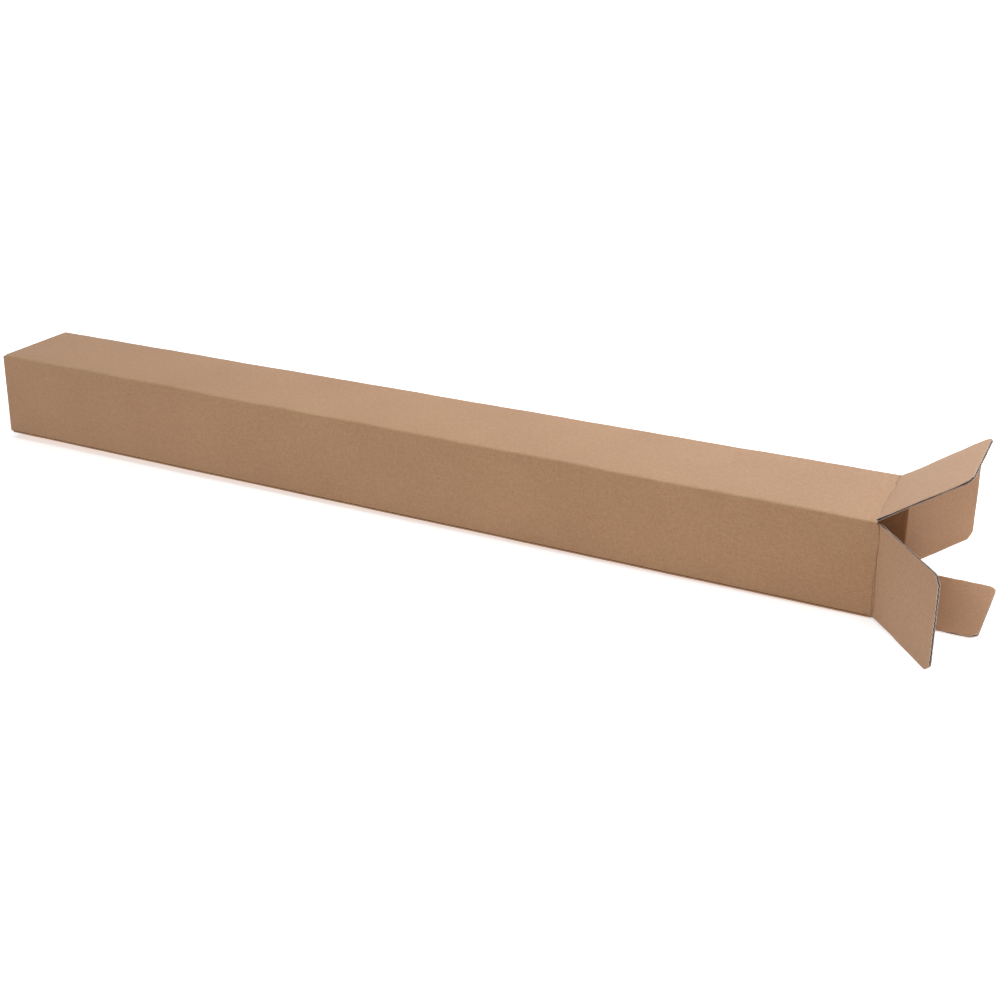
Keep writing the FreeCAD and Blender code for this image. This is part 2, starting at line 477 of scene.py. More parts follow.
floor_mesh = bpy.data.meshes.new("floor")
floor_corners = [(x * FLOOR_HALF, y * FLOOR_HALF, 0.0) for x, y in ((-1, -1), (1, -1), (1, 1), (-1, 1))]
floor_mesh.from_pydata(floor_corners, [], [(0, 1, 2, 3)])
floor = bpy.data.objects.new("floor", floor_mesh)
floor.location.z = -FLOOR_DROP
bpy.context.scene.collection.objects.link(floor)
pale, pale_tree = new_material("pale_floor")
pale_shader = pale_tree.node("ShaderNodeBsdfPrincipled", None, {
    "Base Color": FLOOR_COLOUR, "Roughness": FLOOR_ROUGHNESS, "Specular IOR Level": FLOOR_GLOSS,
    "Emission Color": WHITE, "Emission Strength": FLOOR_GLOW})
pale_tree.node("ShaderNodeOutputMaterial", None, {"Surface": pale_shader[0]})
floor_mesh.materials.append(pale)
print("floor", 2.0 * FLOOR_HALF, "m wide")

# %% [markdown]
# ## The surround
#
# Above the floor's edge the surround goes on just as pale for a few degrees, as the sweep's curve
# would, and then turns into the dim room. A world's coordinates are directions, so their Z says how
# high above the horizon a point lies.

# %% The surround
ROOM_STRENGTH, SWEEP_STRENGTH = 0.21, 1.0
SWEEP_TOP, SWEEP_FADE = 0.08, 0.12

surround = bpy.data.worlds.new("surround")
surround.use_nodes = True
surround.node_tree.nodes.clear()
air = Tree(surround.node_tree)
up_share = air.parts(air.node("ShaderNodeTexCoord")["Generated"])[2]
in_room = up_share.smooth_step(SWEEP_TOP, SWEEP_TOP + SWEEP_FADE)
glow = SWEEP_STRENGTH + in_room * (ROOM_STRENGTH - SWEEP_STRENGTH)
background = air.node("ShaderNodeBackground", None, {"Color": WHITE, "Strength": glow})
air.node("ShaderNodeOutputWorld", None, {"Surface": background})
bpy.context.scene.world = surround
print("sweep up to", SWEEP_TOP)

# %% [markdown]
# ## The board
#
# Corrugated board is three sheets of paper: an outer liner, a wavy medium and an inner liner. Where
# the flaps are cut, their edges show this. A picture of the edge could be painted on a plain plate,
# but then the edge would look flat from near by. Geometry Nodes can make the real thing, because the
# board follows a rule: each layer starts as a thin block with many columns, and one formula moves
# its points. The same tree makes every flap and every crease, from its named inputs.

# %% Sizes of the board
BOARD = 3.0 * MM
HALF_BOARD = BOARD / 2.0
LINER, MEDIUM = 0.45 * MM, 0.45 * MM
COLUMNS_PER_WAVE = 12

BOARD_INPUTS = {
    "NodeSocketFloat": ("Start", "End", "Width", "Corner", "Turn", "Phase", "Seed", "Warp", "Wander",
                        "Crush", "Side Crush", "Score Dirt And Shade", "Second Score"),
    "NodeSocketInt": ("Rows", "Columns"),
    "NodeSocketVector": ("Sheet Place", "Roll", "Place"),
    "NodeSocketMaterial": ("Liner", "Core", "Cut"),
}
print("board", BOARD, "m thick, a wave every", FLUTE_PITCH, "m")

# %% [markdown]
# ## A point on the flat board
#
# A point's place on the flat board is (s, b): s runs away from the crease and b runs along it. The
# block's rows are crowded at both ends, where the board is crushed or cut. Near a free corner the
# board ends earlier, which cuts the corner off slantwise.

# %% A point on the flat board
ROW_CROWDING = 0.8
CORNER_SOFTNESS = 1.0 * MM


def flat_place(tree, given):
    """Where a block's point lies on the flat board, its side of the layer, and the board's end."""
    x, y, side = tree.parts(tree.node("GeometryNodeInputPosition")[0])
    share = x + 0.5
    share = share - (share * FULL_TURN).sin() * (ROW_CROWDING / FULL_TURN)
    b = y * given["Width"]
    corner = given["Corner"]
    into_corner = abs(b) - (given["Width"] * 0.5 - corner)
    cut_off = (into_corner + (into_corner * into_corner + CORNER_SOFTNESS ** 2).sqrt()) * 0.5
    end = given["End"] - cut_off * (corner > 0.0)
    s = given["Start"] + share * (end - given["Start"])
    return s, b, side * 2.0, end


# %% [markdown]
# ## The score line
#
# A crease is scored before it is folded: a blunt wheel presses a line into the outer liner. The fold
# then follows the weakest place near the line, so the line wanders as two noises of the place along
# the crease tell it. Some creases have a second, fainter line beside their lower half.

# %% The score line
SCORE_DEPTH, SCORE_WIDTH = 0.40 * MM, 0.36 * MM
SLOW_WANDER, SLOW_SWING = (42.0, 2.0), 4.6
QUICK_WANDER, QUICK_SWING = (130.0, 2.0, 0.6), 2.0
PRESSURE, PRESSURE_LEAST, PRESSURE_SWING = (130.0, 2.0), 0.55, 0.9
SECOND_PLACE, SECOND_DRIFT, SECOND_SWING = -2.3 * MM, (70.0, 2.0), 2.4 * MM
SECOND_WIDTH, SECOND_DEPTH = 0.9 * SCORE_WIDTH, 0.7
LOWER_HALF = 0.10, -0.10
FIRST_LINE, SECOND_LINE = 0.3, 7.0


def score_line(tree, given, s, b):
    """How deep the score is pressed in at a point, from 0 to 1, and where the line wanders to."""
    line = tree.vector(b, given["Seed"], FIRST_LINE)
    slow, quick = tree.noise(line, *SLOW_WANDER) - 0.5, tree.noise(line, *QUICK_WANDER) - 0.5
    wander = (slow * SLOW_SWING + quick * QUICK_SWING).at_most(1.0).at_least(-1.0) * given["Wander"]
    depth = PRESSURE_LEAST + tree.noise(line, *PRESSURE) * PRESSURE_SWING
    first = (s - wander).bell(SCORE_WIDTH) * depth.clamped()
    other_line = tree.vector(b, given["Seed"], SECOND_LINE)
    drift = SECOND_PLACE + (tree.noise(other_line, *SECOND_DRIFT) - 0.5) * SECOND_SWING
    low_part = (b / given["Width"]).smooth_step(*LOWER_HALF) * given["Second Score"]
    second = (s - drift).bell(SECOND_WIDTH) * low_part * SECOND_DEPTH
    return (first + second).clamped(), wander


# %% [markdown]
# ## The height of each layer
#
# The liners lie flat on both sides of the waves. The medium's middle is a sine, and its two faces
# stand off that sine at a right angle, so the paper is as thick on a slope as on a crest. A little
# jitter makes the waves uneven.

# %% The height of each layer
WAVE_JITTER, JITTER_SWING = (90.0, 1.0), 0.5 * MM


def layer_heights(tree, given, layer, s, b, side, pinch):
    """Sideways shift and height of a layer's point over the board's middle."""
    half = HALF_BOARD * pinch
    if layer != 0:
        return 0.0, (half - LINER / 2.0) * float(layer) + side * (LINER / 2.0)
    angle = (b / FLUTE_PITCH + given["Phase"]) * FULL_TURN
    jitter = tree.noise(tree.vector(s, b, given["Seed"]), *WAVE_JITTER) - 0.5
    swing = half - LINER - MEDIUM / 2.0
    slope = angle.cos() * swing * (FULL_TURN / FLUTE_PITCH)
    lean = 1.0 / (1.0 + slope * slope).sqrt()
    shift = -(slope * lean * side) * (MEDIUM / 2.0) + jitter * JITTER_SWING
    return shift, angle.sin() * swing + side * lean * (MEDIUM / 2.0)


# %% [markdown]
# ## Crushed and warped places
#
# The board is pinched at the crease, and near the edges that a knife has cut. The flap beyond the
# crease's strip is also a little warped: a slow bow all over, and a ripple near its edges. Both fade
# out at the strip, so that strip and flap meet exactly.

# %% Crushed and warped places
STRIP_REACH, STRIP_FADE = 4.5 * MM, 12.0 * MM
CRUSH_WIDTH, CRUSH_LIFT = 1.7 * MM, 0.85 * HALF_BOARD
FRAYED, FRAYED_EDGES = (75.0, 2.0), (0.35, 0.7)
SIDE_CRUSH_WIDTH, SIDE_CRUSH_LEAST, SIDE_CRUSH_FRAY = 2.0 * MM, 0.6, 0.8
END_CRUSH, END_CRUSH_WIDTH = 0.12, 2.2 * MM
BOW, BOW_SEED, BOW_SWING = (16.0, 1.0), 3.0, 3.0
RIPPLE, RIPPLE_SEED, RIPPLE_SWING, RIPPLE_WIDTH = (110.0, 1.0), 9.0, 0.5, 5.0 * MM


def crushing(tree, given, s, b, end, wander):
    """How much the crease and the cut edges crush the board, and how near the side edges are."""
    crush = (s - wander).bell(CRUSH_WIDTH) * given["Crush"]
    frayed = tree.noise(tree.vector(s, b, given["Seed"]), *FRAYED).smooth_step(*FRAYED_EDGES)
    along_waves = (given["Width"] * 0.5 - abs(b)).bell(SIDE_CRUSH_WIDTH)
    at_sides = along_waves * (SIDE_CRUSH_LEAST + frayed * SIDE_CRUSH_FRAY) * given["Side Crush"]
    return crush, at_sides + (end - s).bell(END_CRUSH_WIDTH) * frayed * END_CRUSH, along_waves


def warping(tree, given, s, b, to_edge):
    """How far a flap's point is off the flap's plane."""
    bow = tree.noise(tree.vector(s, b, given["Seed"] + BOW_SEED), *BOW) - 0.5
    ripple = tree.noise(tree.vector(s, b, given["Seed"] + RIPPLE_SEED), *RIPPLE) - 0.5
    return (bow * BOW_SWING + ripple * to_edge.bell(RIPPLE_WIDTH) * RIPPLE_SWING) * given["Warp"]


# %% [markdown]
# ## One paper of the board
#
# Here the parts come together. The block's points get their height, and everything beyond the crease
# is turned by the flap's angle about the crease. The attributes that the materials read are stored
# before the points are moved, while the block's faces still tell the cut sides from the flat ones.

# %% One paper of the board
FOLD_ZONE = 1.7 * MM
WORN_WIDTH, WORN_MOST = 1.0 * MM, 0.5
LAYER_SPREAD = 4.0
CORE_SHADE_LEAST = 0.35


def board_layer(tree, given, layer):
    """One paper of the board: 1 is the outer liner, 0 the medium, -1 the inner liner."""
    block = tree.node("GeometryNodeMeshCube", None, {
        "Size": (1.0, 1.0, 1.0), "Vertices X": given["Rows"], "Vertices Y": given["Columns"],
        "Vertices Z": 2})
    facing_up = tree.parts(tree.node("GeometryNodeInputNormal")[0])[2]
    for name, value in (("is_cut", abs(facing_up) < 0.5), ("is_core", layer == 0)):
        block = tree.stored(block, "FACE", name, "BOOLEAN", value)
    s, b, side, end = flat_place(tree, given)
    score, wander = score_line(tree, given, s, b)
    crush, edge_crush, along_waves = crushing(tree, given, s, b, end, wander)
    beyond_strip = s.smooth_step(STRIP_REACH, STRIP_REACH + STRIP_FADE)
    to_edge = (end - s).at_most(given["Width"] * 0.5 - abs(b))
    pinch = 1.0 - crush - edge_crush * beyond_strip
    shift, height = layer_heights(tree, given, layer, s, b, side, pinch)
    if layer == 1:
        height = height - score * SCORE_DEPTH
    height = height + warping(tree, given, s, b, to_edge) * beyond_strip + crush * CRUSH_LIFT
    fold = (s - wander).smooth_step(-FOLD_ZONE, FOLD_ZONE) * given["Turn"]
    x = s * fold.cos() - height * fold.sin()
    z = s * fold.sin() + height * fold.cos()
    sheet_x, sheet_y, _ = tree.parts(given["Sheet Place"])
    for name, kind, value in (
            ("sheet", "FLOAT_VECTOR", tree.vector(sheet_x + s, sheet_y + b, height * LAYER_SPREAD)),
            # The score's darkening per flap, partly dirt and partly painted shade.
            ("score", "FLOAT", score * (given["Score Dirt And Shade"] if layer == 1 else 0.0)),
            # The liners' faces towards the medium are marked for painted shade.
            ("inside", "FLOAT", 0.5 - side * (0.5 * layer)),
            ("along_waves", "FLOAT", along_waves if layer else along_waves.at_least(CORE_SHADE_LEAST)),
            # Only wear on the flaps' edges; the sleeve's upper folds also carry a painted highlight here.
            ("rub", "FLOAT", to_edge.bell(WORN_WIDTH) * beyond_strip * WORN_MOST)):
        block = tree.stored(block, "POINT", name, kind, value)
    place = tree.vector(x, b + shift, z)
    return tree.node("GeometryNodeSetPosition", None, {"Geometry": block, "Position": place})


# %% [markdown]
# ## The board's tree
#
# The tree joins the three papers, puts them in place and ends in Realize Instances and Set Material.
# The liners' paper goes on everything first, then the medium and the cut faces get their own.

# %% The board's tree
def board_tree():
    """Builds the Geometry Nodes group that makes a piece of board."""
    group = bpy.data.node_groups.new("corrugated_board", "GeometryNodeTree")
    group.interface.new_socket("Geometry", in_out="OUTPUT", socket_type="NodeSocketGeometry")
    for kind, names in BOARD_INPUTS.items():
        for name in names:
            group.interface.new_socket(name, in_out="INPUT", socket_type=kind)
    tree = Tree(group)
    given = tree.node("NodeGroupInput")
    layers = tree.join([board_layer(tree, given, layer) for layer in (1, 0, -1)])
    placed = tree.node("GeometryNodeTransform", None, {
        "Geometry": layers, "Rotation": given["Roll"], "Translation": given["Place"]})
    smooth = tree.node("GeometryNodeSetShadeSmooth", None, {"Geometry": placed, "Shade Smooth": True})
    real = tree.node("GeometryNodeRealizeInstances", None, {"Geometry": smooth})
    papered = tree.node("GeometryNodeSetMaterial", None, {"Geometry": real, "Material": given["Liner"]})
    for mark, paper in (("is_core", "Core"), ("is_cut", "Cut")):
        marked = tree.node("GeometryNodeInputNamedAttribute", {"data_type": "BOOLEAN"}, {"Name": mark})[0]
        papered = tree.node("GeometryNodeSetMaterial", None,
                            {"Geometry": papered, "Selection": marked, "Material": given[paper]})
    tree.node("NodeGroupOutput", None, {"Geometry": papered})
    return group


BOARD_GROUP = board_tree()
INPUT_IDS = {item.name: item.identifier for item in BOARD_GROUP.interface.items_tree
             if item.in_out == "INPUT"}
print("board tree", len(BOARD_GROUP.nodes), "nodes")

# %% [markdown]
# ## Making a piece of board
#
# A modifier runs the tree on an empty carrier. Its result is kept as a plain mesh, and the carrier is
# thrown away. A modifier's inputs are set by their sockets' identifiers, before anything is evaluated.

# %% Making a piece of board
SHARP_ANGLE = math.radians(40.0)
PLAIN_BOARD = {"Warp": 0.0, "Wander": 0.0, "Corner": 0.0, "Score Dirt And Shade": 0.0, "Second Score": 0.0,
               "Crush": 0.4, "Side Crush": 0.3, "Liner": KRAFT_LINER, "Core": WAVY_CORE, "Cut": CUT_EDGE}


def link_mesh(name, mesh):
    """A new object for a finished mesh, at the origin."""
    mesh.name = name
    piece = bpy.data.objects.new(name, mesh)
    bpy.context.scene.collection.objects.link(piece)
    return piece


def board_piece(name, plan):
    """Runs the board tree with a plan's inputs and keeps its result as a plain mesh."""
    columns = int(round(plan["Width"] / FLUTE_PITCH * COLUMNS_PER_WAVE)) + 1
    carrier = link_mesh("carrier", bpy.data.meshes.new("carrier"))
    modifier = carrier.modifiers.new("board", "NODES")
    modifier.node_group = BOARD_GROUP
    for key, value in {**PLAIN_BOARD, "Columns": columns, **plan}.items():
        modifier[INPUT_IDS[key]] = value
    graph = bpy.context.evaluated_depsgraph_get()
    mesh = bpy.data.meshes.new_from_object(carrier.evaluated_get(graph))
    bpy.data.objects.remove(carrier)
    mesh.set_sharp_from_angle(angle=SHARP_ANGLE)
    piece = link_mesh(name, mesh)
    print(name, len(mesh.vertices), "points", [round(value, 3) for value in piece.dimensions])
    return piece


# %% [markdown]
# ## The four open flaps
#
# Each flap is a piece of board beyond its crease, with slanted corners. It could be one mesh with its
# crease, but the flap turns as a stiff plate while the crease bends. So each one is two pieces that
# meet exactly: a strip of 9 mm over the crease, made bent to the flap's open angle and fixed in place,
# and the flap itself, which rides on its own body. The crease's place comes from the joint that the
# CAD model has. The bend is kept short, because a wide one would bulge into the next flap when all are
# closed.

# %% Plans of the flaps
WIDTH, HEIGHT = 120.0 * MM, 115.0 * MM
FLAP_INSET = 3.4 * MM
FLAP_CORNER = 7.5 * MM
SIDE_FLAP = {"End": 115.0 * MM, "Width": HEIGHT - 2.0 * FLAP_INSET}
LID_FLAP = {"End": 110.0 * MM, "Width": WIDTH - 2.0 * FLAP_INSET}
# A flap's score darkening is partly dirt and partly painted shade of its groove, and it is set weaker on
# flaps that face the light.
FLAPS = {
    "top": {"Turn": math.radians(35.0), "Phase": 0.66, "Seed": 1.37, "Score Dirt And Shade": 0.9,
            "Second Score": 0.0, "Warp": 0.35 * MM, "Wander": 2.0 * MM, **LID_FLAP},
    "front": {"Turn": math.radians(48.0), "Phase": 0.23, "Seed": 2.61, "Score Dirt And Shade": 1.0,
              "Second Score": 1.0, "Warp": 0.3 * MM, "Wander": 1.2 * MM, **SIDE_FLAP},
    "bottom": {"Turn": 0.0, "Phase": 0.84, "Seed": 3.19, "Score Dirt And Shade": 0.7,
               "Second Score": 0.3, "Wander": 1.2 * MM, "Side Crush": 0.55, **LID_FLAP},
    "back": {"Turn": math.radians(61.0), "Phase": 0.55, "Seed": 4.83, "Score Dirt And Shade": 0.8,
             "Second Score": 0.6, "Warp": 0.35 * MM, "Wander": 1.2 * MM, "Crush": 0.1, **SIDE_FLAP},
}
PANEL_PLACE = {"front": 0.0, "top": (WIDTH + HEIGHT) / 2.0, "back": WIDTH + HEIGHT,
               "bottom": (WIDTH + HEIGHT) * 1.5}
QUARTER = math.pi / 2.0
BLEND_REACH = 1.5 * MM
STRIP_ROWS, FLAP_ROWS = 37, 22
CREASE_X = {}


# %% The four open flaps
def flap_pieces(side, quarters, plan):
    """The crease strip and the flap on one side of the mouth."""
    place = Vector(JOINTS[side + "_crease"]["pos_m"])
    if side in ("front", "back"):
        place.z = HEIGHT / 2.0
    CREASE_X[side] = place.x
    shared = {**plan, "Sheet Place": (place.x, PANEL_PLACE[side], 0.0),
              "Roll": (quarters * QUARTER, 0.0, 0.0), "Place": tuple(place)}
    strip = board_piece(side + "_crease_strip",
                        {**shared, "Start": -STRIP_REACH, "End": STRIP_REACH, "Rows": STRIP_ROWS})
    flap = board_piece(side + "_flap_board",
                       {**shared, "Start": STRIP_REACH, "Corner": FLAP_CORNER, "Rows": FLAP_ROWS})
    half_turn = plan["Turn"] / 2.0
    outward = Vector((math.cos(half_turn), 0.0, math.sin(half_turn)))
    halfway = turn(quarters * QUARTER, "X") @ outward * BLEND_REACH
    side + "_flap"
    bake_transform(strip)
    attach(flap, side + "_flap")
    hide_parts(side + "_flap")


for quarters, (side, plan) in enumerate(FLAPS.items()):
    flap_pieces(side, quarters, plan)

# %% [markdown]
# ## The sleeve
#
# The sleeve is the four long panels with their rounded folds, the seam low on the front, the stepped
# ends at the mouth and the closed far end. It could be four boards like the flaps, but its core is
# hidden, so two skins with the board's thickness between them are enough. A profile is walked round
# the section once, as pairs of an outer and an inner point, and repeated along the box.

# %% Points on lines and arcs
FOLD_RADIUS, INNER_RADIUS = 3.0 * MM, 0.8 * MM
INNER_INSET = FLAP_INSET + 0.4 * BOARD
PANEL_STEPS, FOLD_STEPS = 14, 8
SEAM_LOW, SEAM_HIGH, SEAM_DEPTH = 3.0 * MM, 4.0 * MM, 1.2 * MM
SEAM_GROOVE = ((0.25 * MM, SEAM_LOW), (0.6 * MM, SEAM_LOW + 0.35 * MM),
               (SEAM_DEPTH, SEAM_HIGH + 0.5 * MM), (SEAM_DEPTH, SEAM_HIGH))
HALF_WIDTH, HALF_HEIGHT = WIDTH / 2.0, HEIGHT / 2.0


def line_points(start, end, steps):
    """Even points from start up to, but not with, end."""
    return [np.array(start) + (np.array(end) - np.array(start)) * (k / steps) for k in range(steps)]


def arc_point(centre, radius, angle):
    """The point of a circle at an angle."""
    return np.array(centre) + radius * np.array((math.cos(angle), math.sin(angle)))


def arc_points(centre, radius, first, last, steps):
    """Points on an arc from one angle up to, but not with, the other."""
    return [arc_point(centre, radius, first + (last - first) * k / steps) for k in range(steps)]


# %% The sleeve's profile
def sleeve_profile():
    """The section as (outer point, inner point, name of the part that starts there), in y and z."""
    w, h, r, t, q = HALF_WIDTH, HEIGHT, FOLD_RADIUS, BOARD, INNER_RADIUS
    e, g = FLAP_INSET, INNER_INSET
    panels = (
        ("front", (-w, SEAM_HIGH), (-w, h - e), (-w + t, g), (-w + t, h - g)),
        ("top", (-w + e, h), (w - e, h), (-w + g, h - t), (w - g, h - t)),
        ("back", (w, h - e), (w, e), (w - t, h - g), (w - t, g)),
        ("bottom", (w - e, 0.0), (-w + e, 0.0), (w - g, t), (-w + g, t)),
    )
    folds = (
        ("front_top", (-w + r, h - r), (-w + t + q, h - t - q), math.pi),
        ("top_back", (w - r, h - r), (w - t - q, h - t - q), QUARTER),
        ("back_bottom", (w - r, r), (w - t - q, t + q), 0.0),
        ("bottom_front", (-w + r, r), (-w + t + q, t + q), -QUARTER),
    )
    rows = []
    for panel, (fold, outer_centre, inner_centre, first) in zip(panels, folds):
        name, outer_start, outer_end, inner_start, inner_end = panel
        last = first - QUARTER
        outer = [np.array(outer_end)] + arc_points(outer_centre, r, first, last, FOLD_STEPS)
        inner = [np.array(inner_end)] + arc_points(inner_centre, q, first, last, FOLD_STEPS)
        if fold == "bottom_front":
            outer += [np.array((-w + depth, up)) for depth, up in SEAM_GROOVE]
            inner += line_points((-w + t, t + q), (-w + t, g), len(SEAM_GROOVE))
        else:
            outer.append(arc_point(outer_centre, r, last))
            inner.append(arc_point(inner_centre, q, last))
        flat = zip(line_points(outer_start, outer_end, PANEL_STEPS),
                   line_points(inner_start, inner_end, PANEL_STEPS))
        rows += [(o, i, name) for o, i in flat] + [(o, i, fold) for o, i in zip(outer, inner)]
    return rows


def unrolled(profile):
    """How far each profile point is along the flat sheet, counted from the front panel's middle."""
    steps = [np.linalg.norm(b[0] - a[0]) for a, b in zip(profile, profile[1:])]
    return np.concatenate(([0.0], np.cumsum(steps))) + SEAM_HIGH - HALF_HEIGHT


PROFILE = sleeve_profile()
UNROLLED = unrolled(PROFILE)
print("profile", len(PROFILE), "pairs of points")

# %% [markdown]
# ## Stations along the sleeve
#
# At the mouth each panel runs on to its own crease. The four creases differ by a board's thickness
# each, because the closed flaps lie on each other, and each fold ends near the creases beside it. At
# the far end the section is drawn in along a quarter of a circle, which rounds the last fold.

# %% Stations along the sleeve
FAR_FACE = -600.0 * MM
FAR_FOLD = FAR_FACE + BOARD
FAR_PLATE = FAR_FACE + 4.0 * BOARD
COMMON_END = 590.0 * MM
ROW_LENGTH = 8.0 * MM
FAR_STEPS = 6
ENDS = {"front_top": 602.4 * MM, "top_back": 602.4 * MM, "back_bottom": 605.2 * MM,
        "bottom_front": 604.4 * MM, **{side: CREASE_X[side] - STRIP_REACH for side in FLAPS}}


def sleeve_stations():
    """Stations along the box as (x, how far the section is drawn in), from the far end to the mouth."""
    angles = [QUARTER * (1.0 - k / FAR_STEPS) for k in range(FAR_STEPS)]
    rounded = [(FAR_FOLD + FOLD_RADIUS * (1.0 - math.sin(angle)), FOLD_RADIUS * (1.0 - math.cos(angle)))
               for angle in angles]
    start = FAR_FOLD + FOLD_RADIUS
    count = int((COMMON_END - start) / ROW_LENGTH)
    straight = [(start + (COMMON_END - start) * k / count, 0.0) for k in range(count + 1)]
    return rounded + straight + [(x, 0.0) for x in sorted(set(ENDS.values()))]


STATIONS = sleeve_stations()
print("stations", len(STATIONS))

# %% [markdown]
# ## Places, wear and painted light of the sleeve's points
#
# Each point of the sleeve has a key: its skin, its number in the profile and its station. From the
# key comes its place, its place on the flat sheet, how rubbed its paper is, partly as wear and partly
# as a painted highlight, and whether it lies in the seam's groove, which is painted dark as shade.

# %% Places, wear and painted light of the sleeve's points
FOLD_MIDDLE, RUB_AND_HIGHLIGHT_EDGE = 0.29 * FOLD_RADIUS, 0.35
GROOVE_POINTS = len(SEAM_GROOVE) - 1


def fold_rub_and_highlight(name, place):
    """How rubbed the paper is at a profile point: the upper folds' outer paper is, partly as wear and
    partly as a painted highlight.
    """
    y, z = place
    if name in PANEL_PLACE or z <= HALF_HEIGHT:
        return 0.0
    beyond_y = max(abs(y) - (HALF_WIDTH - FOLD_RADIUS), 0.0)
    beyond_z = max(abs(z - HALF_HEIGHT) - (HALF_HEIGHT - FOLD_RADIUS), 0.0)
    return min(1.0, max(0.0, min(beyond_y, beyond_z) / FOLD_MIDDLE - RUB_AND_HIGHLIGHT_EDGE))


def sleeve_point(key):
    """Place, place on the sheet, wear and painted highlight, and painted groove shade of a point, from its
    skin, profile number and station.
    """
    skin, k, j = key
    outer, inner, name = PROFILE[k]
    x, drawn_in = STATIONS[j]
    if skin == "inner":
        y, z = inner
        return (max(x, FAR_PLATE), y, z), (x, UNROLLED[k], -LAYER_SPREAD * HALF_BOARD), 0.0, 0.0
    y, z = outer
    y_drawn = y * (1.0 - drawn_in / HALF_WIDTH)
    z_drawn = HALF_HEIGHT + (z - HALF_HEIGHT) * (1.0 - drawn_in / HALF_HEIGHT)
    # Points in the seam's groove are marked for painted shadow, the shade under the front panel's cut edge.
    in_groove = float(k >= len(PROFILE) - GROOVE_POINTS)
    on_sheet = (x, UNROLLED[k], LAYER_SPREAD * HALF_BOARD)
    return (x, y_drawn, z_drawn), on_sheet, fold_rub_and_highlight(name, outer), in_groove


# %% [markdown]
# ## The sleeve's faces
#
# The sleeve is built from cells between two stations and two profile points. Where a cell has a
# neighbour that ends earlier, a cut face closes the step, so the whole is one closed shell.

# %% The sleeve's faces
ROUNDING = 1e-9


class MeshMaker:
    """Collects points and faces, and makes each named point once."""

    def __init__(self, make):
        self.make = make
        self.points, self.sheet, self.rub, self.inside = [], [], [], []
        self.faces, self.cut, self.known = [], [], {}

    def point(self, key):
        if key not in self.known:
            self.known[key] = len(self.points)
            for kept, value in zip((self.points, self.sheet, self.rub, self.inside), self.make(key)):
                kept.append(value)
        return self.known[key]

    def face(self, *keys, cut=False):
        self.faces.append([self.point(key) for key in keys])
        self.cut.append(cut)


def build_sleeve():
    """Both skins, the stepped mouth, the closed far end and the seam's cut edge."""
    maker = MeshMaker(sleeve_point)
    count = len(PROFILE)
    first_inner = next(j for j, (x, _) in enumerate(STATIONS) if x > FAR_PLATE)
    last = [max(j for j, (x, _) in enumerate(STATIONS) if x <= ENDS[name] + ROUNDING)
            for _, _, name in PROFILE]
    for k in range(count):
        n = (k + 1) % count
        for j in range(last[k]):
            maker.face(("outer", k, j), ("outer", k, j + 1), ("outer", n, j + 1), ("outer", n, j))
            if j >= first_inner - 1:
                maker.face(("inner", k, j), ("inner", n, j), ("inner", n, j + 1), ("inner", k, j + 1))
        end = last[k]
        maker.face(("outer", k, end), ("inner", k, end), ("inner", n, end), ("outer", n, end), cut=True)
        for j in range(last[n], last[k]):
            maker.face(("outer", n, j), ("outer", n, j + 1), ("inner", n, j + 1), ("inner", n, j),
                       cut=True)
        for j in range(last[k], last[n]):
            maker.face(("outer", n, j), ("inner", n, j), ("inner", n, j + 1), ("outer", n, j + 1),
                       cut=True)
    maker.face(*[("outer", k, 0) for k in range(count)])
    maker.face(*[("inner", k, first_inner - 1) for k in reversed(range(count))])
    return maker


SLEEVE = build_sleeve()
print("sleeve", len(SLEEVE.points), "points", len(SLEEVE.faces), "faces")

# %% [markdown]
# ## Soft folds and panels
#
# A box of board is never quite straight. Its folds wander by a third of a millimetre and its panels
# belly out a little between them. A random sum of slow waves with a fixed seed moves the sleeve's
# points. The movement fades out at both ends, where the flaps and the closed end have to fit, and the
# lower folds stay on the floor.

# %% Soft folds and panels
RANDOM = np.random.RandomState(7)
FOLD_DRIFT, FLOOR_HOLD = 0.35 * MM, 1.2
PANEL_BELLY, BELLY_STEADY, BELLY_WAVES = 0.7 * MM, 0.8, 0.2
PANEL_FROM, PANEL_FADE = 0.9, 0.04
SOFT_FROM, SOFT_TO, SOFT_FADE = -594.0 * MM, 585.0 * MM, 60.0 * MM
WAVE_LENGTHS = np.array((0.62, 0.31, 0.17, 0.095, 0.05))
WAVE_SHARES = np.array((0.45, 0.35, 0.30, 0.25, 0.18))
PHASES = RANDOM.uniform(0.0, FULL_TURN, (8, len(WAVE_LENGTHS)))


def slow_waves(x, phases):
    """A random but smooth curve along the box, within about -1 to 1."""
    return sum(share * np.sin(FULL_TURN * x / length + phase)
               for share, length, phase in zip(WAVE_SHARES, WAVE_LENGTHS, phases))


def smooth(values):
    """A soft S from 0 to 1, for many values at once."""
    share = np.clip(values, 0.0, 1.0)
    return share * share * (3.0 - 2.0 * share)


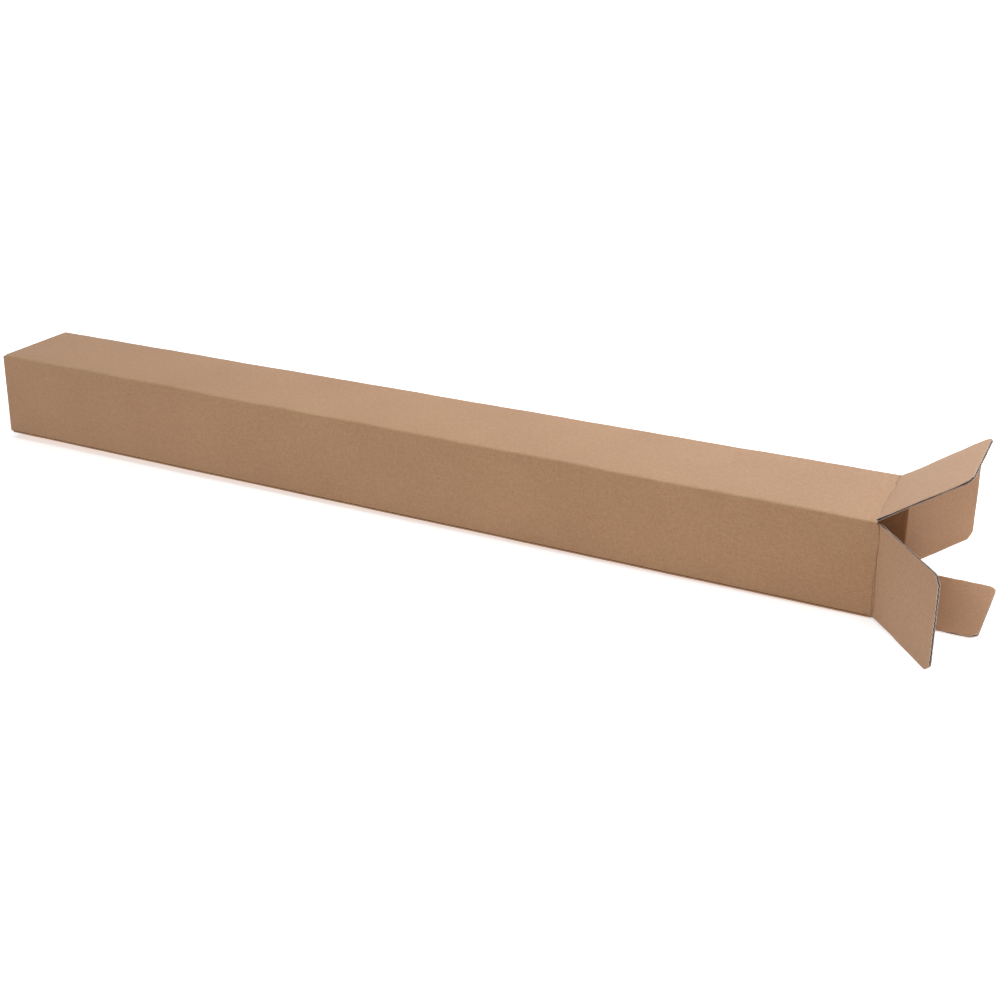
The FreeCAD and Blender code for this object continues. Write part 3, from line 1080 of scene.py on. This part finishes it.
def soften(points):
    """Moves the sleeve's points for wandering folds and bellied panels."""
    x, y, z = points[:, 0], points[:, 1], points[:, 2]
    fade = smooth((x - SOFT_FROM) / SOFT_FADE) * smooth((SOFT_TO - x) / SOFT_FADE)
    across, up = y / HALF_WIDTH, (z - HALF_HEIGHT) / HALF_HEIGHT
    right, high = (across + 1.0) / 2.0, (up + 1.0) / 2.0
    moved = points.copy()
    for axis, hold in ((0, 1.0), (1, smooth(high * FLOOR_HOLD))):
        low_left, high_left, high_right, low_right = (slow_waves(x, PHASES[4 * axis + k]) for k in range(4))
        drift = ((low_left * (1 - high) + high_left * high) * (1 - right)
                 + (low_right * (1 - high) + high_right * high) * right)
        moved[:, 1 + axis] += drift * FOLD_DRIFT * hold * fade
    belly = PANEL_BELLY * fade * (BELLY_STEADY + BELLY_WAVES * slow_waves(x, PHASES[0]))
    on_side = smooth((abs(across) - PANEL_FROM) / PANEL_FADE) * np.clip(1 - up * up, 0, 1)
    on_top = smooth((up - PANEL_FROM) / PANEL_FADE) * np.clip(1 - across * across, 0, 1)
    moved[:, 1] += belly * np.sign(across) * on_side
    moved[:, 2] += belly * on_top
    return moved


# %% [markdown]
# ## The twist
#
# A long box twists a little under its own stiffness: its far end is turned by a few degrees about the
# edge that it rests on, and its mouth isn't turned at all.

# %% The twist
TWIST = math.radians(-3.5)
TWIST_START, TWIST_LENGTH = 595.0 * MM, 1195.0 * MM
END_LEAN = 0.05


def twist(points):
    """Turns the far end of the box about the low back edge that it rests on."""
    x, y, z = points[:, 0], points[:, 1] - HALF_WIDTH, points[:, 2]
    share = np.clip((TWIST_START - x) / TWIST_LENGTH, 0.0, 1.0)
    angle = TWIST * share
    lean = share * END_LEAN * (z - HALF_HEIGHT)
    turned_y = y * np.cos(angle) - z * np.sin(angle)
    turned_z = y * np.sin(angle) + z * np.cos(angle)
    return np.stack((x + lean, turned_y + HALF_WIDTH, turned_z), axis=1)


def twist_mesh(mesh):
    """Moves a finished mesh with the twisted box."""
    places = np.zeros(3 * len(mesh.vertices), np.float32)
    mesh.vertices.foreach_get("co", places)
    mesh.vertices.foreach_set("co", twist(places.reshape(-1, 3)).astype(np.float32).ravel())
    mesh.update()


# %% [markdown]
# ## The sleeve's mesh
#
# The points and faces become a mesh, and the attributes that the kraft liner and the cut edge read
# are laid over its points. The sleeve has no score lines, and its cut edges count as cut along the
# waves.

# %% The sleeve's mesh
sleeve_mesh = bpy.data.meshes.new("sleeve")
sleeve_mesh.from_pydata(twist(soften(np.array(SLEEVE.points))).tolist(), [], SLEEVE.faces)
point_count = len(SLEEVE.points)
for attribute_name, values in (("sheet", SLEEVE.sheet), ("rub", SLEEVE.rub), ("inside", SLEEVE.inside),
                               ("score", np.zeros(point_count)), ("along_waves", np.ones(point_count))):
    kind, key = ("FLOAT_VECTOR", "vector") if attribute_name == "sheet" else ("FLOAT", "value")
    attribute = sleeve_mesh.attributes.new(attribute_name, kind, "POINT")
    attribute.data.foreach_set(key, np.array(values, np.float32).ravel())
sleeve_mesh.materials.append(KRAFT_LINER)
sleeve_mesh.materials.append(CUT_EDGE)
sleeve_mesh.polygons.foreach_set("material_index", np.array(SLEEVE.cut, np.int32))
sleeve_mesh.polygons.foreach_set("use_smooth", np.ones(len(SLEEVE.faces), bool))
sleeve_mesh.update()
sleeve_mesh.set_sharp_from_angle(angle=SHARP_ANGLE)
sleeve = link_mesh("sleeve", sleeve_mesh)
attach(sleeve, "box")
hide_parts("box_body")
print("sleeve", [round(value, 3) for value in sleeve.dimensions])

# %% [markdown]
# ## The closed end and the glue tab
#
# The far end has four flaps as well, folded in and glued on each other. The outermost one turns in
# from the front panel and shows its raw edge at the back. Inside the front panel lies the glue tab, a
# strip of the bottom panel that the maker's joint is glued on. The same tree makes both: the far flap
# with its fold in one piece, because it doesn't move, and the tab as a flat strip.

# %% The closed end and the glue tab
TAB_LENGTH, TAB_WIDTH = 1170.0 * MM, 34.0 * MM
TAB_START, TAB_MIDDLE = -576.0 * MM, 18.0 * MM
FAR_SHEET_PLACE, TAB_SHEET_PLACE = (0.7, 0.0, 0.0), (1.4, 0.9, 0.0)

far_crease = Vector((FAR_FACE + HALF_BOARD, -HALF_WIDTH + HALF_BOARD, HALF_HEIGHT))
far_flap = board_piece("far_end_flap", {
    "Start": -(FAR_FOLD + FOLD_RADIUS - far_crease.x), "End": WIDTH - HALF_BOARD - BOARD,
    "Width": HEIGHT - 2.0 * FLAP_INSET, "Corner": FLAP_CORNER, "Rows": 60, "Turn": -QUARTER,
    "Phase": 0.2, "Seed": 5.3, "Sheet Place": FAR_SHEET_PLACE, "Roll": (-QUARTER, 0.0, math.pi),
    "Place": tuple(far_crease)})
tab_place = (TAB_START, -HALF_WIDTH + BOARD + HALF_BOARD, BOARD + TAB_MIDDLE)
glue_tab = board_piece("glue_tab", {
    "Start": 0.0, "End": TAB_LENGTH, "Width": TAB_WIDTH, "Rows": 30, "Turn": 0.0, "Phase": 0.4,
    "Seed": 6.3, "Sheet Place": TAB_SHEET_PLACE, "Roll": (QUARTER, 0.0, 0.0), "Place": tab_place})
for piece in (far_flap, glue_tab):
    twist_mesh(piece.data)
    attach(piece, "box")

# %% [markdown]
# ## The CAD parts' finish
#
# The CAD model's parts get the kraft liner as their finish. The dressed box has to stay as
# large as the CAD model.

# %% The CAD parts' finish
for node in frame["nodes"].values():
    node.data.materials.clear()
    node.data.materials.append(KRAFT_LINER)
